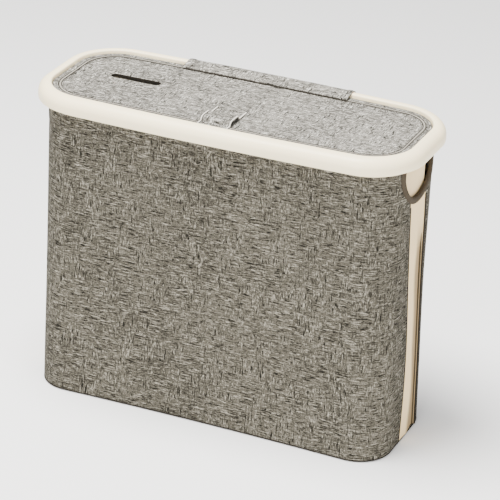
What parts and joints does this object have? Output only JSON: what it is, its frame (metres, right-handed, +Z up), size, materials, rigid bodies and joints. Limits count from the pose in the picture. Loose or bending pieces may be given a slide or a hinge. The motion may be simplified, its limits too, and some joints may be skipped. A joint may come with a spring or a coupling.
{
  "type": "laundry hamper with lid",
  "caption": "Slim fabric laundry hamper with a moulded rim, a cloth-hinged slotted lid, end hand-holds and a loose base board.",
  "frame": {"origin": "middle of the base, on the floor", "axes": "+X along the length (right end, as seen from the front), +Y to the hinge at the back, +Z up"},
  "size_m": [0.48, 0.2013, 0.3911],
  "materials": {
    "rim_plastic": "satin cream moulding",
    "screw_steel": "plated",
    "body_linen": "woven grey linen look",
    "lid_linen": "woven pale grey linen look",
    "gusset_cloth": "smooth cream cloth",
    "lining_cloth": "plain cream lining",
    "binding_tape": "taupe bias tape",
    "panel_board": "plain stiffener board"
  },
  "bodies": {
    "hamper": {"top_rim": "rim_plastic", "clamp_ring": "rim_plastic", "rim_screws": "screw_steel", "front_cover": "body_linen", "back_cover": "body_linen", "front_board": "panel_board", "back_board": "panel_board", "right_gusset": "gusset_cloth", "left_gusset": "gusset_cloth", "seam_tapes": "binding_tape", "right_handle_binding": "binding_tape", "left_handle_binding": "binding_tape", "lining": "lining_cloth", "bottom_cover": "body_linen", "bottom_welt": "binding_tape", "hinge_band": "lid_linen"},
    "base": {"base_board": "panel_board"},
    "right_flap": {"right_grip_flap": "gusset_cloth"},
    "left_flap": {"left_grip_flap": "gusset_cloth"},
    "lid": {"lid_board": "panel_board", "lid_top_cover": "lid_linen", "lid_bottom_cover": "lining_cloth", "lid_edge_binding": "lid_linen", "slot_binding": "lid_linen", "pull_loop": "lid_linen", "hinge_flap": "lid_linen"}
  },
  "joints": [
    {"name": "lid_hinge", "type": "hinge", "parent": "hamper", "child": "lid", "pos_m": [0, 0.0915, 0.3894], "axis": [-1, 0, 0], "range_deg": [0, 240]},
    {"name": "right_flap_hinge", "type": "hinge", "parent": "hamper", "child": "right_flap", "pos_m": [0.2188, 0, 0.3718], "axis": [0, 1, 0], "range_deg": [0, 50]},
    {"name": "left_flap_hinge", "type": "hinge", "parent": "hamper", "child": "left_flap", "pos_m": [-0.2188, 0, 0.3718], "axis": [0, -1, 0], "range_deg": [0, 50]},
    {"name": "base_lift", "type": "slide", "parent": "hamper", "child": "base", "axis": [0, 0, 1], "range_m": [0, 0.25]}
  ]
}
